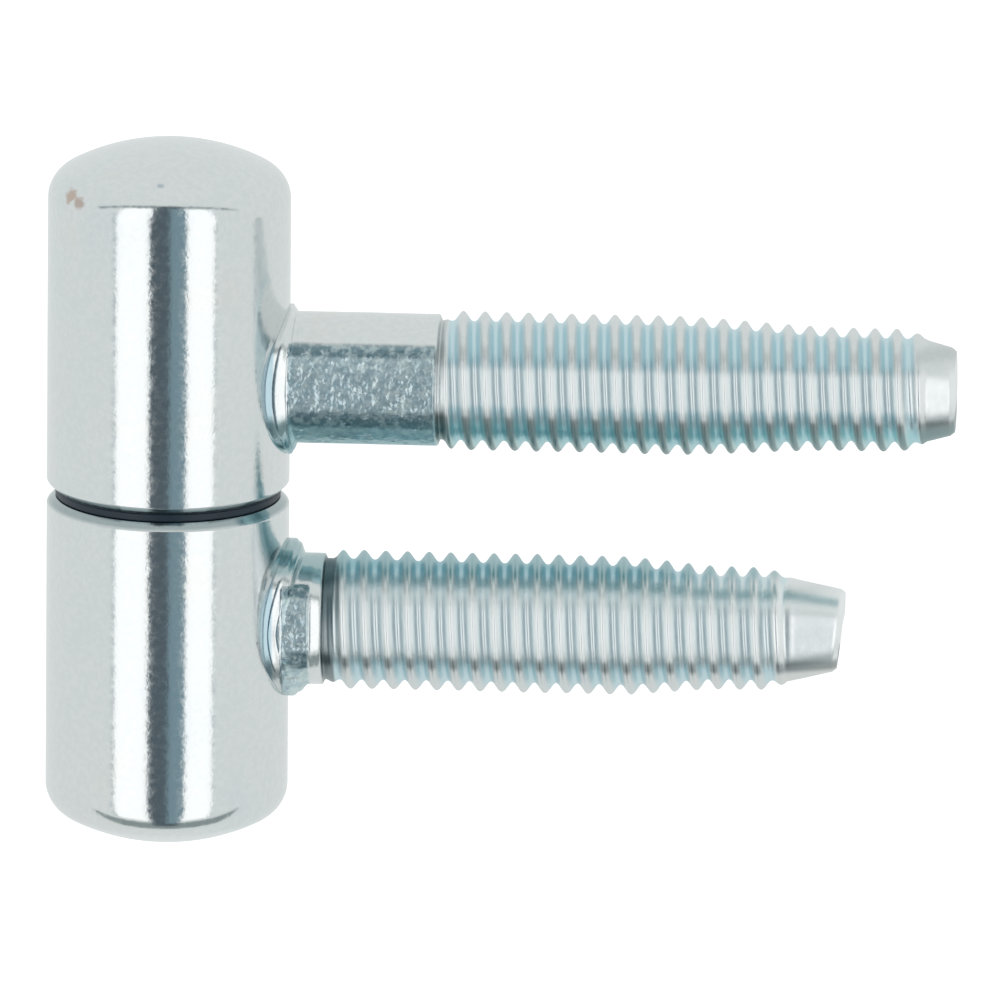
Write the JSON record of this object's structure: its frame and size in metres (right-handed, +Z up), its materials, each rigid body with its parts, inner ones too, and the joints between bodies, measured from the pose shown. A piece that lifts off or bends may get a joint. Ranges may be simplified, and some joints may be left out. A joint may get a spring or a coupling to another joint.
{
  "type": "drill-in barrel hinge",
  "caption": "Lift-off barrel hinge in bright zinc-plated steel, with a wood-thread stud welded to the side of each barrel.",
  "frame": {"origin": "on the frame stud's axis, where its thread starts, which is where the door frame's face lies", "axes": "+X along both studs to their points, +Z up along the hinge axis from the frame barrel to the leaf barrel, Y across; the picture looks along +Y"},
  "size_m": [0.0524, 0.014, 0.0413],
  "materials": {
    "zinc_barrel": "bright bluish zinc plating on turned steel, smooth and glossy, faintly mottled",
    "zinc_stud": "bluish zinc plating on a rolled thread, pitted on the plain neck",
    "bare_pin": "ground steel pin, lightly oiled",
    "washer_polymer": "thin dark blue-black polymer ring, matte"
  },
  "bodies": {
    "frame": {"frame_barrel": "zinc_barrel", "frame_stud": "zinc_stud", "hinge_pin": "bare_pin"},
    "washer": {"thrust_washer": "washer_polymer"},
    "leaf": {"leaf_barrel": "zinc_barrel", "leaf_stud": "zinc_stud"}
  },
  "joints": [
    {"name": "swing", "type": "hinge", "parent": "frame", "child": "washer", "pos_m": [-0.0098, 0, 0], "axis": [0, 0, 1], "continuous": true},
    {"name": "lift_off", "type": "slide", "parent": "washer", "child": "leaf", "axis": [0, 0, 1], "range_m": [0, 0.018]}
  ]
}
